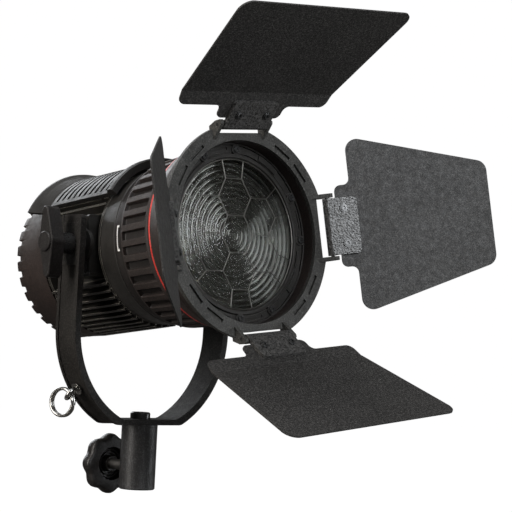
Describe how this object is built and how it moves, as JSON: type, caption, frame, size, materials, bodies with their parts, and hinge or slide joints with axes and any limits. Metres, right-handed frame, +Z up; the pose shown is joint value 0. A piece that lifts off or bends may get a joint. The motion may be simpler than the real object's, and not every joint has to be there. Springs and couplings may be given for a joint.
{
  "type": "fresnel spotlight",
  "caption": "LED fresnel spotlight with a finned tilting head on a U yoke, a focus ring and four hinged barn doors that turn on the barrel; clamps on a 16 mm stand spigot.",
  "frame": {"origin": "centre of the stand receiver's lower mouth, on the receiver's axis", "axes": "+Z up along the receiver, the light shines towards -Y, +X is the arm with the plain pivot bolt (the tilt handle is at -X)"},
  "size_m": [0.3667, 0.3444, 0.3678],
  "materials": {
    "yoke_powder_coat": "satin black powder coat",
    "black_steel": "black oxide",
    "chrome": "polished",
    "knob_plastic": "matte",
    "body_cast": "black stove enamel on die-cast aluminium",
    "rear_moulding": "fine matte",
    "focus_rubber": "soft matte black",
    "mark_white": "painted",
    "accent_red": "red anodised",
    "friction_fibre": "matte",
    "bare_aluminium": "machined",
    "ground_steel": "ground",
    "guard_wire": "bright",
    "lens_glass": "clear, stippled back",
    "phosphor": "satin",
    "circuit_board": "satin",
    "component_black": "satin",
    "barndoor_cast": "grey-black satin enamel",
    "hammertone_steel": "hammertone enamel",
    "door_sheet": "fine textured black powder coat"
  },
  "bodies": {
    "stand_yoke": {"yoke": "yoke_powder_coat", "stand_receiver": "yoke_powder_coat", "base_bolt": "black_steel", "eye_bolt": "chrome"},
    "lock_knob": {"lock_knob": "knob_plastic", "lock_screw": "chrome"},
    "safety_ring": {"safety_ring": "chrome"},
    "head": {"body_shell": "body_cast", "pivot_block_left": "body_cast", "pivot_block_right": "body_cast", "friction_discs": "friction_fibre", "pivot_bolt": "black_steel", "top_cover": "body_cast", "rear_cover": "rear_moulding", "rear_panel": "rear_moulding", "power_inlet": "knob_plastic", "switch_bezel": "knob_plastic", "driver_board": "circuit_board", "board_parts": "component_black", "rear_bulkhead": "bare_aluminium", "guide_rods": "ground_steel", "guide_tube": "body_cast", "rear_collar": "body_cast", "accent_ring": "accent_red", "front_barrel": "body_cast", "fresnel_lens": "lens_glass", "bezel": "body_cast", "bezel_screws": "black_steel", "wire_guard": "guard_wire"},
    "tilt_handle": {"tilt_handle": "knob_plastic", "handle_cap": "knob_plastic", "handle_stem": "black_steel"},
    "focus_ring": {"focus_ring": "focus_rubber", "focus_mark": "mark_white"},
    "led_carriage": {"carriage_plate": "body_cast", "drive_pin": "ground_steel", "led_heat_sink": "bare_aluminium", "cob_board": "bare_aluminium", "cob_emitter": "phosphor", "lamp_shroud": "component_black", "fan_frame": "knob_plastic"},
    "fan_rotor": {"fan_rotor": "knob_plastic"},
    "dimmer_knob": {"dimmer_knob": "knob_plastic"},
    "power_rocker": {"power_rocker": "knob_plastic"},
    "barndoor_frame": {"barndoor_frame": "barndoor_cast", "hinge_pins": "black_steel"},
    "door_top": {"door_top": "door_sheet", "door_bracket_top": "hammertone_steel", "door_screws_top": "black_steel"},
    "door_left": {"door_left": "door_sheet", "door_bracket_left": "hammertone_steel", "door_screws_left": "black_steel"},
    "door_bottom": {"door_bottom": "door_sheet", "door_bracket_bottom": "hammertone_steel", "door_screws_bottom": "black_steel"},
    "door_right": {"door_right": "door_sheet", "door_bracket_right": "hammertone_steel", "door_screws_right": "black_steel"}
  },
  "joints": [
    {"name": "lock_knob_turn", "type": "hinge", "parent": "stand_yoke", "child": "lock_knob", "pos_m": [0, 0.032, 0.017], "axis": [0, 1, 0], "range_deg": [0, 720]},
    {"name": "safety_ring_swing", "type": "hinge", "parent": "stand_yoke", "child": "safety_ring", "pos_m": [-0.06802, 0, 0.07308], "axis": [0.4207, -0.6671, -0.6147], "range_deg": [-20, 20]},
    {"name": "head_tilt", "type": "hinge", "parent": "stand_yoke", "child": "head", "pos_m": [0, 0, 0.186], "axis": [-1, 0, 0], "range_deg": [-50, 80]},
    {"name": "tilt_handle_turn", "type": "hinge", "parent": "head", "child": "tilt_handle", "pos_m": [0, 0, 0.186], "axis": [-1, 0, 0], "range_deg": [0, 360]},
    {"name": "focus_ring_turn", "type": "hinge", "parent": "head", "child": "focus_ring", "pos_m": [0, 0, 0.186], "axis": [0, -0.9938, 0.1115], "range_deg": [-24, 90]},
    {"name": "led_carriage_slide", "type": "slide", "parent": "head", "child": "led_carriage", "axis": [0, -0.9938, 0.1115], "range_m": [-0.00802, 0.03002]},
    {"name": "fan_spin", "type": "hinge", "parent": "led_carriage", "child": "fan_rotor", "pos_m": [0, 0.00994, 0.18488], "axis": [0, -0.9938, 0.1115], "continuous": true},
    {"name": "dimmer_turn", "type": "hinge", "parent": "head", "child": "dimmer_knob", "pos_m": [0.02, 0.09078, 0.18789], "axis": [0, 0.9938, -0.1115], "range_deg": [-135, 135]},
    {"name": "power_rocker_tilt", "type": "hinge", "parent": "head", "child": "power_rocker", "pos_m": [-0.022, 0.08703, 0.19033], "axis": [-1, 0, 0], "range_deg": [0, 14]},
    {"name": "barndoor_turn", "type": "hinge", "parent": "head", "child": "barndoor_frame", "pos_m": [0, 0, 0.186], "axis": [0, -0.9938, 0.1115], "continuous": true},
    {"name": "door_top_hinge", "type": "hinge", "parent": "barndoor_frame", "child": "door_top", "pos_m": [-0.00886, -0.11416, 0.27709], "axis": [-0.9936, -0.0126, -0.1125], "range_deg": [-48, 60]},
    {"name": "door_left_hinge", "type": "hinge", "parent": "barndoor_frame", "child": "door_left", "pos_m": [-0.0778, -0.12382, 0.19097], "axis": [0.1132, -0.1108, -0.9874], "range_deg": [-74, 60]},
    {"name": "door_bottom_hinge", "type": "hinge", "parent": "barndoor_frame", "child": "door_bottom", "pos_m": [0.00886, -0.1315, 0.12247], "axis": [0.9936, 0.0126, 0.1125], "range_deg": [-50, 58]},
    {"name": "door_right_hinge", "type": "hinge", "parent": "barndoor_frame", "child": "door_right", "pos_m": [0.0778, -0.12184, 0.20859], "axis": [-0.1132, 0.1108, 0.9874], "range_deg": [-88, 45]}
  ],
  "couplings": [
    {"joint": "led_carriage_slide", "follows": "focus_ring_turn", "m_per_rad": 0.019099}
  ]
}
